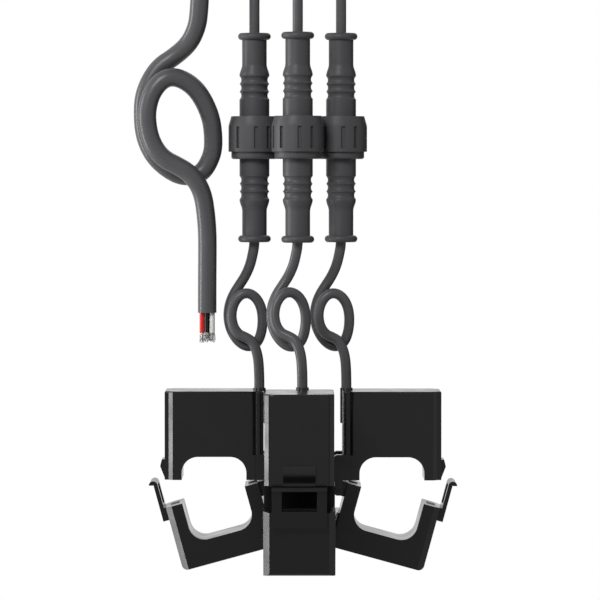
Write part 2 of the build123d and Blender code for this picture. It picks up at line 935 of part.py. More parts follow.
def latch_arm():
    """The spring arm that stands up from the jaw, with its window for the catch and its curled lip."""
    inner = latch_side - arm_gap
    outer = inner - arm_thick
    half = arm_width / 2
    root = block(inner, latch_side + jaw_bevel, -half, half, -arm_bottom, -jaw_gap)
    arm = block(outer, inner, -half, half, -arm_bottom, arm_top)
    centre = (outer - arm_curl, arm_top)
    small, large = arm_curl, arm_curl + arm_thick
    start, end = 0, arm_curl_angle

    def at(radius, angle):
        turn = math.radians(angle)
        return (centre[0] + radius * math.cos(turn), centre[1] + radius * math.sin(turn))

    middle = (start + end) / 2
    curl = ThreePointArc(at(small, start), at(small, middle), at(small, end))
    curl += Line(at(small, end), at(large, end))
    curl += ThreePointArc(at(large, end), at(large, middle), at(large, start))
    curl += Line(at(large, start), at(small, start))
    arm += plate(make_face(curl), -half, half)
    side = lug_width / 2 + arm_window_side
    arm -= block(outer - overrun, inner + slip, -side, side, arm_window_foot, lug_height + lug_gap)
    return root + arm


def jaw_case():
    """The jaw closed, with its latch arm, its knuckle and the bed of its core."""
    body = bevelled(
        latch_side, hinge_side, jaw_thick, jaw_bevel, hinge_edge_round, -jaw_depth, -jaw_gap
    )
    deep = half_jaw + overrun
    body &= plate(RectangleRounded(clamp_width, 2 * jaw_depth, jaw_corner), -deep, deep)
    body -= plate(window_sketch(window_rise, window_drop), -deep, deep)
    edge = hinge_side - hinge_recess
    body -= block(edge, hinge_side + overrun, -deep, deep, -hinge_recess_down, 0)
    reach = half_thick - clamp_ear_thick - knuckle_side_gap
    knuckle = block(edge - overrun, pivot_x, -reach, reach, pivot_z - knuckle_radius, -jaw_gap)
    knuckle += rod_y(knuckle_radius, -reach, reach, pivot_x, pivot_z)
    knuckle -= block(edge, pivot_x + overrun * 2, -reach, reach, -jaw_gap, overrun)
    body += knuckle + latch_arm()
    body -= rod_y(pin_radius + running, -deep, deep, pivot_x, pivot_z)
    half = core_thick / 2 + slip
    return body - plate(lower_core_sketch(slip), -half, half)


def hinge_pin():
    return rod_y(pin_radius, -half_thick, half_thick, pivot_x, pivot_z)


def opened(angle, piece):
    """A piece of the jaw, swung open to how it hangs."""
    there = Pos(pivot_x, 0, pivot_z)
    return there * Rot(Y=-angle) * Pos(-pivot_x, 0, -pivot_z) * piece


# Sensor leads

plug_middle_z = boot_top - boot_half
plug_foot_z = plug_middle_z - boot_half


def lead_points(name):
    """One sensor cord's route, from inside its plug to inside its clamp."""
    place, row, forward, aside, shorter, *_ = SENSORS[name]
    x0 = sensor_x(place)
    count = len(SENSOR_ROUTE)
    points = [(x0, -row, plug_foot_z + cord_in_boot)]
    for i, (side, layer, down) in enumerate(SENSOR_ROUTE):
        share = min(max((i - 1) / (count - 4), 0), 1)
        y = -row - forward * share + layer
        points.append((x0 + side + aside * share, y, plug_foot_z + down + shorter * share))
    x, y, z = points.pop()
    return points + [(x, y, z - entry_depth)]


def clamp_place(name):
    """Where a clamp's own frame lies: its entry is at the end of its cord."""
    turn = SENSORS[name][5]
    x, y, z = lead_points(name)[-1]
    entry = Vector(hinge_side - entry_inset, -entry_forward, case_height - entry_depth)
    entry = entry.rotate(Axis.Z, turn)
    return Pos(x - entry.X, y - entry.Y, z - entry.Z) * Rot(Z=turn)


def build():
    os.makedirs("parts", exist_ok=True)
    save("housing_base", housing_base())
    save("housing_cover", housing_cover())
    save("cover_gasket", cover_gasket())
    save("cover_screws", *cover_screws())
    save("circuit_board", circuit_board())
    save("power_module", on_board(power_width, power_height, power_depth, power_x, power_z))
    save("radio_module", on_board(radio_width, radio_height, radio_depth, radio_x, radio_z))
    save("terminal_block", terminal_block())
    save("light_pipe", light_pipe())
    save("setup_button", setup_button())
    places = gland_places()
    save("gland_bodies", *[gland_body(*place) for place in places])
    save("gland_seals", *[gland_seal(*place) for place in places])
    save("gland_nuts", *[gland_nut_at(*place) for place in places])
    save("gland_locknuts", *[gland_locknut(*place) for place in places])

    save("supply_lead", cord("supply_lead", supply_points(), supply_radius))
    for colour in core_places():
        save(f"supply_core_{colour}", supply_core(colour))
    save("supply_strands", *core_strands())

    socket, contacts = socket_half(), socket_contacts()
    plug, nut, seal, sleeves = plug_half(), coupling_nut(), plug_seal(), plug_contacts()
    shell = clamp_shell()
    case, cover, core, coil = clamp_case(shell), clamp_cover(shell), clamp_core(), clamp_coil()
    jaw, lower_core, pin = jaw_case(), jaw_core(), hinge_pin()
    sockets, pins = [], []
    for name, (place, row, *_) in SENSORS.items():
        x = sensor_x(place)
        at = Pos(x, -row, plug_middle_z)
        sockets.append(at * socket)
        pins += [at * contact for contact in contacts]
        tail = [(x, -row, floor_z + cord_in_box), (x, -row, boot_top - cord_in_boot)]
        save(f"tail_{name}", cord(f"tail_{name}", tail, sensor_radius))
        save(f"plug_{name}", at * plug)
        save(f"coupling_nut_{name}", at * nut)
        save(f"plug_seal_{name}", at * seal)
        save(f"plug_contacts_{name}", *[at * sleeve for sleeve in sleeves])
        save(f"sensor_lead_{name}", cord(f"sensor_lead_{name}", lead_points(name), sensor_radius))
        there = clamp_place(name)
        save(f"clamp_case_{name}", there * case)
        save(f"clamp_cover_{name}", there * cover)
        save(f"clamp_core_{name}", there * core)
        save(f"clamp_coil_{name}", there * coil)
        save(f"hinge_pin_{name}", there * pin)
        open_angle = SENSORS[name][6]
        save(f"jaw_{name}", there * opened(open_angle, jaw))
        save(f"jaw_core_{name}", there * opened(open_angle, lower_core))
        print(name, "clamp at", there.position)
        print(name, "hinge at", (there * Pos(pivot_x, 0, pivot_z)).position)
    save("socket_halves", *sockets)
    save("socket_contacts", *pins)


build()
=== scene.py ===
import json
import math
import random

import bpy
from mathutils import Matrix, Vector

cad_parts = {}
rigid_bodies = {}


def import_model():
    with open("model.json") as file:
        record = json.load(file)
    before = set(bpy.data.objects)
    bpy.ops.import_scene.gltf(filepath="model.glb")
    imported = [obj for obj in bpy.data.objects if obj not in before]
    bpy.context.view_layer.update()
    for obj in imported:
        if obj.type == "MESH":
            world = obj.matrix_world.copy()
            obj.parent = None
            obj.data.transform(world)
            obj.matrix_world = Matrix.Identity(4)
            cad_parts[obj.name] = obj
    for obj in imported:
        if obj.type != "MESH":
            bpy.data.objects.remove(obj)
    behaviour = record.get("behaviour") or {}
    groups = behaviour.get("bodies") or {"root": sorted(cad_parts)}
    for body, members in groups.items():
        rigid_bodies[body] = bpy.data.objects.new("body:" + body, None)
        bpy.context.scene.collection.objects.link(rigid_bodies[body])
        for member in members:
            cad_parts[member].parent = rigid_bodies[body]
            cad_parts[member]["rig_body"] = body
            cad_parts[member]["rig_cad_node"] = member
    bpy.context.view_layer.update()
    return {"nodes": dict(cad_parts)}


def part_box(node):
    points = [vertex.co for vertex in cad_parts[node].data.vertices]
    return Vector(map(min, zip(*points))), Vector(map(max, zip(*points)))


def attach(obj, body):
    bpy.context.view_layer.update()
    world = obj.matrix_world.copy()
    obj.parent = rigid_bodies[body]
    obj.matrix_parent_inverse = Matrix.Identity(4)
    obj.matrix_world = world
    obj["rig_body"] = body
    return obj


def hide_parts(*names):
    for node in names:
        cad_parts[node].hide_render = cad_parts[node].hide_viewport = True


bl_info = {
    "name": "Energy Monitor Dressing",
    "version": (1, 0, 0),
    "blender": (4, 5, 0),
    "location": "3D View > Sidebar > Energy Monitor",
    "description": "Dresses a wall-hung energy monitor with its leads, connectors and split clamps",
    "category": "Object",
}

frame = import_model()
SIDES = ("left", "middle", "right")
CORES = ("red", "black", "white")
MM = 0.001

# Heights that the leads share with the solids, in millimetres
BOX_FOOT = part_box("housing_base")[0].z / MM
GLAND_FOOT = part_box("gland_nuts")[0].z / MM
BOOT_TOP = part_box("socket_halves")[1].z / MM
PLUG_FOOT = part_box("plug_left")[0].z / MM
# How far the leads' ends reach into the pieces that hold them, in millimetres
CORD_IN_BOX = 8.0
CORD_IN_BOOT = 5.0
CORD_IN_CLAMP = 5.0
# Where the supply lead leaves the box, sideways from its middle and out from the wall, in millimetres
SUPPLY_X = -25.4
BACK_ROW = 18.0

# Supply lead, its curve from the foot of its gland, in millimetres: sideways, in depth (+ is towards the
# wall) and in height
SUPPLY_ROUTE = [
    (0.0, 0.0, -6.0),
    (-0.2, 0.0, -20.0),
    (-0.8, 0.0, -34.7),
    (-1.7, 0.7, -40.6),
    (-4.6, 2.2, -46.5),
    (-9.9, 3.6, -51.1),
    (-15.4, 3.7, -54.6),
    (-19.1, 3.7, -59.8),
    (-21.5, 3.7, -66.1),
    (-21.8, 3.7, -72.8),
    (-21.3, 3.7, -79.4),
    (-19.4, 3.7, -85.0),
    (-16.5, 3.7, -89.4),
    (-12.4, 3.7, -92.9),
    (-8.0, 3.7, -95.3),
    (-3.2, 3.7, -95.5),
    (-0.2, 3.7, -94.2),
    (2.0, 3.7, -91.6),
    (4.2, 3.4, -86.5),
    (4.4, 2.6, -80.9),
    (3.7, 1.4, -74.6),
    (1.5, 0.1, -68.7),
    (-1.7, -1.2, -63.5),
    (-5.8, -2.4, -60.2),
    (-10.2, -3.3, -58.7),
    (-14.3, -3.8, -59.8),
    (-18.1, -3.8, -64.3),
    (-19.9, -3.8, -70.2),
    (-20.0, -3.8, -75.4),
    (-18.9, -3.8, -81.3),
    (-16.5, -3.8, -86.1),
    (-13.2, -3.8, -89.4),
    (-9.1, -3.8, -91.4),
    (-4.8, -3.8, -93.9),
    (-1.3, -3.4, -97.9),
    (0.7, -2.4, -102.7),
    (1.6, -1.3, -108.7),
    (2.2, -0.4, -116.1),
    (2.2, -0.1, -125.0),
    (2.1, 0.0, -135.2),
    (2.1, 0.0, -145.9),
]

# Sensor lead, its curve from the foot of its plug, in the same order
SENSOR_ROUTE = [
    (0.0, 0.0, -0.6),
    (-0.5, 0.0, -3.7),
    (-1.6, 0.9, -8.5),
    (-3.5, 1.9, -12.7),
    (-5.8, 2.2, -16.2),
    (-7.9, 2.2, -19.5),
    (-9.3, 2.2, -23.2),
    (-9.8, 2.2, -27.3),
    (-9.1, 2.2, -31.7),
    (-7.1, 2.2, -35.6),
    (-4.3, 2.2, -38.2),
    (-1.6, 2.2, -38.8),
    (0.9, 2.2, -37.4),
    (2.4, 1.6, -34.2),
    (3.1, 0.6, -29.5),
    (2.7, -0.3, -24.7),
    (1.1, -1.1, -21.1),
    (-1.3, -1.7, -19.0),
    (-4.0, -2.2, -18.8),
    (-6.3, -2.2, -20.4),
    (-8.0, -2.2, -23.4),
    (-8.6, -2.2, -27.2),
    (-7.9, -2.2, -31.1),
    (-5.9, -2.2, -34.0),
    (-3.2, -2.3, -35.1),
    (-0.9, -2.4, -36.5),
    (0.5, -2.4, -39.3),
    (1.4, -1.8, -43.0),
    (1.7, -0.8, -47.6),
    (1.8, 0.0, -52.4),
    (1.8, 0.0, -54.7),
]

# How far each sensor lead's end lies in front of its start and to its side, and how much shorter it
# hangs, in millimetres
SENSORS = {
    "left": (0.0, 0.0, 0.0),
    "middle": (16.5, -0.1, 1.6),
    "right": (0.0, 0.2, 0.0),
}

# Real lengths along the cords, in metres
TAIL_LENGTH = 0.0731
SENSOR_LENGTH = 0.1223

# How finely a cord is drawn: steps from one point of its line to the next, and the curve bevel that gives
# its round 18 sides
CORD_STEPS = 10
CORD_ROUND = 7

# Bare ends: wires in each, the turn from one to the next in radians, how unevenly they are cut in metres,
# how far the outer ones lean, and the seed of their unevenness
WIRE_COUNT = 16
WIRE_TURN = 2.4
WIRE_UNEVEN = 0.0011
WIRE_LEAN = math.radians(16)
WIRE_SEED = 7
# A wire's sides, how far it wanders aside in each of its steps and how far it reaches up into its core,
# both in wire radii, and the sharpest turn that its sides shade over
WIRE_SIDES = 8
WIRE_WANDER = (0.2, 0.5, -0.3, -0.6, 0.4)
WIRE_IN_CORE = 4
WIRE_SMOOTH = math.radians(50)

# Mouldings: corners this close are one, in millimetres; triangles this flat to each other are one face;
# edges that turn more than the next angle are rounded, and those that turn less than the last are smooth
SAME_CORNER = 0.002
SAME_FACE = math.radians(0.8)
ROUNDED_EDGE = math.radians(32)
SMOOTH_EDGE = math.radians(38)

# Width of the faint clouds in a moulding's colour, and of the ripples in the acrylic, in millimetres
CLOUD_WIDTH = 9.0
RIPPLE_WIDTH = 2.0

# The camera looks a little down at this point, in millimetres. Its distance and the width that it sees
# there are in metres, and the width of its film is in millimetres
VIEW_TARGET = (11.03, -18.0, -213.7)
VIEW_DISTANCE = 1.516
VIEW_WIDTH = 0.222
VIEW_TILT = math.radians(1.7)
FILM_WIDTH = 36.0

# Width and height of the floor, in metres
FLOOR_WIDTH = 6.0
FLOOR_HEIGHT = -1.2

# Light that the white studio itself sheds on the object, as a share of white, and the lamps: place from
# the target, width and height in metres, power in watts, and whether reflections show the lamp
AMBIENT = 0.16
LAMPS = (
    ("side softbox", (-1.45, -0.02, -0.05), 0.2, 1.4, 20.0, True),
    ("front softbox", (-0.45, -1.05, 0.7), 0.5, 0.5, 12.5, True),
    ("rear softbox", (0.5, 1.4, 0.5), 0.8, 0.8, 15.0, False),
)
# A black card behind and to the right, seen only in reflections, that darkens right-hand edges: its
# middle and the length of its sides, in metres
CARD_PLACE = (0.5, 0.55, -0.2)
CARD_SIZE = 0.9


# Helpers


def linear(text):
    """A hex colour as linear red, green, blue and alpha."""
    parts = [int(text[i : i + 2], 16) / 255 for i in (1, 3, 5)]
    return [p / 12.92 if p <= 0.04045 else ((p + 0.055) / 1.055) ** 2.4 for p in parts] + [1.0]


def picked(colour):
    """A colour from the panel, which is linear already, with the alpha that a node wants."""
    return list(colour) + [1.0]


def add_node(tree, kind, links=None, values=None, **settings):
    """Adds a node with links from other nodes' sockets, values and settings.

    A socket goes by its name, or by its number where names repeat.
    """
    node = tree.nodes.new(kind)
    for name, value in settings.items():
        setattr(node, name, value)
    for name, value in (values or {}).items():
        node.inputs[name].default_value = value
    for name, socket in (links or {}).items():
        tree.links.new(socket, node.inputs[name])
    return node


def new_material(name):
    """A material with an empty node tree, or the one made before and no tree."""
    material = bpy.data.materials.get(name)
    if material:
        return material, None
    material = bpy.data.materials.new(name)
    material.use_nodes = True
    material.node_tree.nodes.clear()
    return material, material.node_tree


def deselect():
    """Leaves nothing selected, since the frame's solids start selected."""
    bpy.ops.object.select_all(action="DESELECT")


def only(piece):
    """Selects this piece alone."""
    deselect()
    piece.select_set(True)
    bpy.context.view_layer.objects.active = piece


def paint(piece, material):
    """Gives a piece this material alone."""
    piece.data.materials.clear()
    piece.data.materials.append(material)


def finish_node(node, material):
    """Gives a solid that is shown as it is its material."""
    paint(frame["nodes"][node], material)


def apply(piece, modifier):
    """Makes a modifier part of its piece's mesh."""
    only(piece)
    bpy.ops.object.modifier_apply(modifier=modifier.name)


def softened(node, material, rounding):
    """A copy of a moulding with its edges rounded, which stands for the plain solid."""
    source = frame["nodes"][node]
    piece = source.copy()
    piece.data = source.data.copy()
    piece.name = "moulded_" + node
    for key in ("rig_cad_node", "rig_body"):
        if key in piece:
            del piece[key]
    piece.parent = None
    bpy.context.collection.objects.link(piece)
    only(piece)
    bpy.ops.object.mode_set(mode="EDIT")
    bpy.ops.mesh.select_all(action="SELECT")
    bpy.ops.mesh.remove_doubles(threshold=SAME_CORNER * MM)
    bpy.ops.mesh.dissolve_limited(angle_limit=SAME_FACE)
    bpy.ops.object.mode_set(mode="OBJECT")
    bevel = piece.modifiers.new("Moulding round", "BEVEL")
    bevel.width = rounding
    bevel.segments = 2
    bevel.limit_method = "ANGLE"
    bevel.angle_limit = ROUNDED_EDGE
    apply(piece, bevel)
    bpy.ops.object.shade_smooth_by_angle(angle=SMOOTH_EDGE)
    flat = piece.modifiers.new("Flat faces", "WEIGHTED_NORMAL")
    flat.keep_sharp = True
    apply(piece, flat)
    paint(piece, material)
    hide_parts(node)
    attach(piece, source["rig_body"])


# Materials


def moulded(name, colour, roughness, specular=0.35, grain=0.35, relief=0.012, mottle=0.06):
    """Moulded or extruded plastic: a fine grain in its surface, and faint clouds in its colour and gloss.

    The grain's width and relief are in millimetres. It is a little coarser than the real one, so that it
    shows. The mottle is the share by which the clouds darken and lighten the colour.
    """
    material, tree = new_material(name)
    if tree is None:
        return material
    place = add_node(tree, "ShaderNodeTexCoord").outputs["Object"]
    cloud = add_node(
        tree, "ShaderNodeTexNoise", {"Vector": place}, {"Scale": 1 / (CLOUD_WIDTH * MM), "Detail": 3.0}
    )
    fine = add_node(
        tree, "ShaderNodeTexNoise", {"Vector": place}, {"Scale": 1 / (grain * MM), "Detail": 2.0}
    )
    darker, paler = (
        [min(1.0, part * share) for part in colour[:3]] + [1.0] for share in (1 - mottle, 1 + mottle)
    )
    # Inputs 6 and 7 are the colours that it mixes, and output 2 is their mixture
    tint = add_node(
        tree, "ShaderNodeMix", {"Factor": cloud.outputs["Fac"]}, {6: darker, 7: paler}, data_type="RGBA"
    )
    gloss = add_node(
        tree,
        "ShaderNodeMapRange",
        {"Value": cloud.outputs["Fac"]},
        {"From Min": 0.3, "From Max": 0.7, "To Min": roughness - 0.05, "To Max": roughness + 0.06},
    )
    bump = add_node(
        tree,
        "ShaderNodeBump",
        {"Height": fine.outputs["Fac"]},
        {"Strength": 0.5, "Distance": relief * MM},
    )
    shader = add_node(
        tree,
        "ShaderNodeBsdfPrincipled",
        {"Base Color": tint.outputs[2], "Roughness": gloss.outputs[0], "Normal": bump.outputs[0]},
        {"IOR": 1.5, "Specular IOR Level": specular},
    )
    add_node(tree, "ShaderNodeOutputMaterial", {"Surface": shader.outputs[0]})
    return material


def metal(name, colour, roughness, line=0.12, along=(1.0, 1.0, 8.0), relief=0.004):
    """Drawn, ground or plated metal, with fine lines in its surface.

    The lines' width and relief are in millimetres, and along says how many times as far they reach each
    way. They are coarser than the real ones, so that they show.
    """
    material, tree = new_material(name)
    if tree is None:
        return material
    place = add_node(tree, "ShaderNodeTexCoord").outputs["Object"]
    stretch = add_node(tree, "ShaderNodeMapping", {"Vector": place})
    stretch.inputs["Scale"].default_value = [1 / (line * MM * part) for part in along]
    lines = add_node(tree, "ShaderNodeTexNoise", {"Vector": stretch.outputs[0]}, {"Scale": 1.0})
    gloss = add_node(
        tree,
        "ShaderNodeMapRange",
        {"Value": lines.outputs["Fac"]},
        {"To Min": roughness - 0.08, "To Max": roughness + 0.1},
    )
    bump = add_node(tree, "ShaderNodeBump", {"Height": lines.outputs["Fac"]}, {"Distance": relief * MM})
    shader = add_node(
        tree,
        "ShaderNodeBsdfPrincipled",
        {"Roughness": gloss.outputs[0], "Normal": bump.outputs[0]},
        {"Base Color": colour, "Metallic": 1.0},
    )
    add_node(tree, "ShaderNodeOutputMaterial", {"Surface": shader.outputs[0]})
    return material


def clear_acrylic(name):
    """Clear moulded acrylic: slightly bluish, and glossy with a slight unevenness in its gloss."""
    material, tree = new_material(name)
    if tree is None:
        return material
    place = add_node(tree, "ShaderNodeTexCoord").outputs["Object"]
    ripple = add_node(tree, "ShaderNodeTexNoise", {"Vector": place}, {"Scale": 1 / (RIPPLE_WIDTH * MM)})
    gloss = add_node(
        tree, "ShaderNodeMapRange", {"Value": ripple.outputs["Fac"]}, {"To Min": 0.05, "To Max": 0.12}
    )
    shader = add_node(
        tree,
        "ShaderNodeBsdfPrincipled",
        {"Roughness": gloss.outputs[0]},
        {"Base Color": linear("#eef6f6"), "IOR": 1.49, "Transmission Weight": 0.85},
    )
    add_node(tree, "ShaderNodeOutputMaterial", {"Surface": shader.outputs[0]})
    return material


def materials():
    """Every finish of the monitor, by what carries it."""
    look = bpy.context.scene.monitor_colours
    return {
        # Glass-filled nylon from a finely spark-eroded mould: almost black, with a weak but clear sheen
        "clamp": moulded("black nylon, spark eroded", picked(look.clamp), 0.2, 0.2, 0.3, 0.003),
        # The jaws: the same nylon as the cases, with a darker colour and a weaker sheen as painted shade,
        # since the open jaws tilt down away from the light
        "jaw": moulded("black nylon, jaw with painted shade", picked(look.jaw), 0.2, 0.16, 0.3, 0.003),
        # Soft PVC moulded over the contacts: charcoal, duller than the clamps
        "connector": moulded("grey-black overmould", picked(look.connector), 0.42, 0.15, 0.4, 0.008),
        # Extruded soft PVC: charcoal with a long highlight and a fine grain
        "jacket": moulded("extruded soft PVC jacket", picked(look.jacket), 0.3, 0.25, 0.5, 0.012),
        "thin_jacket": moulded("extruded PVC sensor jacket", picked(look.jacket), 0.32, 0.2, 0.4, 0.01),
        # Thin-wall PVC insulation: plain bright colours, a little shiny
        "red": moulded("red PVC core", linear("#c42422"), 0.35, 0.3),
        "black": moulded("black PVC core", linear("#101012"), 0.35, 0.25),
        "white": moulded("white PVC core", linear("#dededc"), 0.35, 0.3),
        # Tinned copper: grey wires, shiny along their length
        "strand": metal("tinned copper strand", linear("#979794"), 0.32),
        # Nitrile rubber: dull black
        "seal": moulded("nitrile seal", linear("#161616"), 0.6, 0.25),
        # Light grey ABS with a fine mould texture
        "shell": moulded("light grey ABS shell", picked(look.shell), 0.48, 0.4, 0.5, 0.02, 0.02),
        # Black nylon glands: darker than the leads, half matt
        "gland": moulded("black nylon gland", linear("#1b1b1d"), 0.4, 0.25, 0.4, 0.01),
        # Bright screws with turned lines, and black-oxide pins that hardly shine
        "steel": metal("stainless steel", linear("#b4b4b2"), 0.32),
        "pin": metal("black oxide steel", linear("#2a2a2b"), 0.45),
        # Sintered ferrite: dark grey, ground dull
        "ferrite": metal("sintered ferrite", linear("#37383b"), 0.55, 0.3, (1.0, 1.0, 1.0)),
        # Polyester tape round the winding: amber, with the wires showing as waves about 1 mm apart
        "coil": moulded("amber polyester tape", linear("#c8932b"), 0.32, 0.4, 1.2, 0.03),
        # Flash gold on brass: warm and shiny
        "contact": metal("gold-plated brass", linear("#d8b25c"), 0.24),
        # Solder mask over copper: glossy dark green
        "board": moulded("green solder mask", linear("#12532c"), 0.3, 0.5, 0.8, 0.004),
        # Potting epoxy: black and half glossy, with slight ripples
        "module": moulded("black potting epoxy", linear("#1a1a1d"), 0.35, 0.4),
        # Tinned sheet steel: pale and bright
        "shield": metal("tinned steel shield", linear("#b9babb"), 0.3),
        # Polyamide terminals: mid green, satin
        "terminal": moulded("green polyamide terminal", linear("#1f6b39"), 0.4, 0.4),
        # Clear acrylic: what lies behind it shows through
        "light": clear_acrylic("clear acrylic light pipe"),
        # Silicone rubber: dark grey and dull
        "button": moulded("dark grey silicone button", linear("#2b2c2e"), 0.6, 0.25),
    }


# Settings


class MonitorSizes(bpy.types.PropertyGroup):
    supply_radius: bpy.props.FloatProperty(
        name="Supply lead radius",
        description="Outside radius of the supply lead",
        default=0.00345,
        unit="LENGTH",
    )
    sensor_radius: bpy.props.FloatProperty(
        name="Sensor lead radius",
        description="Outside radius of the sensor leads",
        default=0.0019,
        unit="LENGTH",
    )
    moulding_round: bpy.props.FloatProperty(
        name="Moulding round",
        description="Rounding on the edges of the clamps and connectors",
        default=0.00025,
        unit="LENGTH",
    )
    box_round: bpy.props.FloatProperty(
        name="Box round",
        description="Rounding on the edges of the box and glands",
        default=0.0004,
        unit="LENGTH",
    )
    wire_radius: bpy.props.FloatProperty(
        name="Wire radius",
        description="Radius of one tinned wire",
        default=0.00014,
        unit="LENGTH",
    )


class MonitorColours(bpy.types.PropertyGroup):
    clamp: bpy.props.FloatVectorProperty(
        name="Clamp",
        description="Colour of the clamp cases",
        default=linear("#131314")[:3],
        subtype="COLOR",
    )
    # A little darker than the cases' colour: painted shade for the open jaws, which are the same nylon
    jaw: bpy.props.FloatVectorProperty(
        name="Jaw",
        description="Colour of the jaws",
        default=linear("#111112")[:3],
        subtype="COLOR",
    )
    connector: bpy.props.FloatVectorProperty(
        name="Connector",
        description="Colour of the connectors",
        default=linear("#48484a")[:3],
        subtype="COLOR",
    )
    jacket: bpy.props.FloatVectorProperty(
        name="Jacket",
        description="Colour of the leads",
        default=linear("#4e4e50")[:3],
        subtype="COLOR",
    )
    shell: bpy.props.FloatVectorProperty(
        name="Box",
        description="Colour of the wall box",
        default=linear("#cfd0ce")[:3],
        subtype="COLOR",
    )


# Stage


def seen_white(tree, plain, shown):
    """Links a shader that the camera, reflections and clear parts see, and one that lights the object."""
    path = add_node(tree, "ShaderNodeLightPath").outputs
    seen = path["Is Camera Ray"]
    for ray in ("Is Transmission Ray", "Is Glossy Ray"):
        seen = add_node(tree, "ShaderNodeMath", {0: seen, 1: path[ray]}, operation="MAXIMUM").outputs[0]
    return add_node(tree, "ShaderNodeMixShader", {0: seen, 1: plain.outputs[0], 2: shown.outputs[0]})


def light_world(scene):
    """White to the camera and in reflections, and dim as light on the object."""
    world = bpy.data.worlds.new("white studio")
    scene.world = world
    world.use_nodes = True
    tree = world.node_tree
    tree.nodes.clear()
    white = linear("#ffffff")
    soft = add_node(tree, "ShaderNodeBackground", None, {"Color": white, "Strength": AMBIENT})
    full = add_node(tree, "ShaderNodeBackground", None, {"Color": white, "Strength": 1.0})
    add_node(tree, "ShaderNodeOutputWorld", {"Surface": seen_white(tree, soft, full).outputs[0]})


def lay_floor():
    """A pale matt floor well below the clamps, since the monitor hangs on a wall."""
    deselect()
    bpy.ops.mesh.primitive_plane_add(size=FLOOR_WIDTH, location=(0, 0, FLOOR_HEIGHT))
    floor = bpy.context.object
    floor.name = "floor"
    material, tree = new_material("pale floor")
    matt = add_node(tree, "ShaderNodeBsdfDiffuse", None, {"Color": linear("#f4f4f4")})
    glow = add_node(tree, "ShaderNodeEmission", None, {"Color": linear("#ffffff"), "Strength": 1.0})
    add_node(tree, "ShaderNodeOutputMaterial", {"Surface": seen_white(tree, matt, glow).outputs[0]})
    floor.data.materials.append(material)


def set_card():
    """The black card that reflections show at the right."""
    deselect()
    bpy.ops.mesh.primitive_plane_add(size=CARD_SIZE, location=CARD_PLACE, rotation=(0, math.pi / 2, 0))
    card = bpy.context.object
    card.name = "black_card"
    card.visible_camera = False
    card.visible_diffuse = False
    card.visible_shadow = False
    material, tree = new_material("black card")
    matt = add_node(tree, "ShaderNodeBsdfDiffuse", None, {"Color": linear("#080808")})
    add_node(tree, "ShaderNodeOutputMaterial", {"Surface": matt.outputs[0]})
    card.data.materials.append(material)


def set_lamps(target):
    """The soft lamps, each turned to the target."""
    for name, place, width, height, power, mirrored in LAMPS:
        light = bpy.data.lights.new(name, "AREA")
        light.shape = "RECTANGLE"
        light.size, light.size_y = width, height
        light.energy = power
        lamp = bpy.data.objects.new(name, light)
        bpy.context.collection.objects.link(lamp)
        lamp.visible_glossy = mirrored
        lamp.location = Vector(place) + target
        lamp.rotation_euler = (target - lamp.location).to_track_quat("-Z", "Y").to_euler()


def set_camera(scene, target):
    """The camera in front of the target, a little above it."""
    camera = bpy.data.cameras.new("camera")
    camera.sensor_width = FILM_WIDTH
    camera.lens = FILM_WIDTH * VIEW_DISTANCE / VIEW_WIDTH
    eye = bpy.data.objects.new("camera", camera)
    bpy.context.collection.objects.link(eye)
    eye.location = target + Vector((0, -math.cos(VIEW_TILT), math.sin(VIEW_TILT))) * VIEW_DISTANCE
    eye.rotation_euler = (math.pi / 2 - VIEW_TILT, 0, 0)
    scene.camera = eye


class MONITOR_OT_stage(bpy.types.Operator):
    """Adds the floor, the black card, the studio light, the world and the camera"""

    bl_idname = "monitor.stage"
    bl_label = "Stage"

    def execute(self, context):
        scene = context.scene
        scene.view_settings.view_transform = "Standard"
        target = Vector(VIEW_TARGET) * MM
        light_world(scene)
        lay_floor()
        set_card()
        set_lamps(target)
        set_camera(scene, target)
        return {"FINISHED"}


# Pieces


def cord_piece(name, points, radius, material, body, *nodes):
    """A round lead on one smooth line drawn by these points, in millimetres, for its plain solids."""
    curve = bpy.data.curves.new(name, "CURVE")
    curve.dimensions = "3D"
    curve.resolution_u = CORD_STEPS
    curve.bevel_depth = radius
    curve.bevel_resolution = CORD_ROUND
    curve.use_fill_caps = True
    spline = curve.splines.new("NURBS")
    spline.points.add(len(points) - 1)
    for point, place in zip(spline.points, points):
        point.co = [part * MM for part in place] + [1.0]
    spline.order_u = 3
    spline.use_endpoint_u = True
    piece = bpy.data.objects.new(name, curve)
    bpy.context.collection.objects.link(piece)
    piece.data.materials.append(material)
    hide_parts(*nodes)
    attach(piece, body)
    return piece


def one_wire(radius, length):
    """One tinned wire from the origin down, drawn out of a circle in steps that wander a little."""
    bpy.ops.mesh.primitive_circle_add(vertices=WIRE_SIDES, radius=radius, fill_type="NGON")
    bpy.ops.object.mode_set(mode="EDIT")
    bpy.ops.mesh.select_all(action="SELECT")
    for aside in WIRE_WANDER:
        bpy.ops.mesh.extrude_region_move(
            TRANSFORM_OT_translate={"value": (aside * radius, 0, -length / len(WIRE_WANDER))}
        )
    bpy.ops.mesh.select_all(action="SELECT")
    bpy.ops.mesh.normals_make_consistent(inside=False)
    bpy.ops.object.mode_set(mode="OBJECT")
    return bpy.context.object


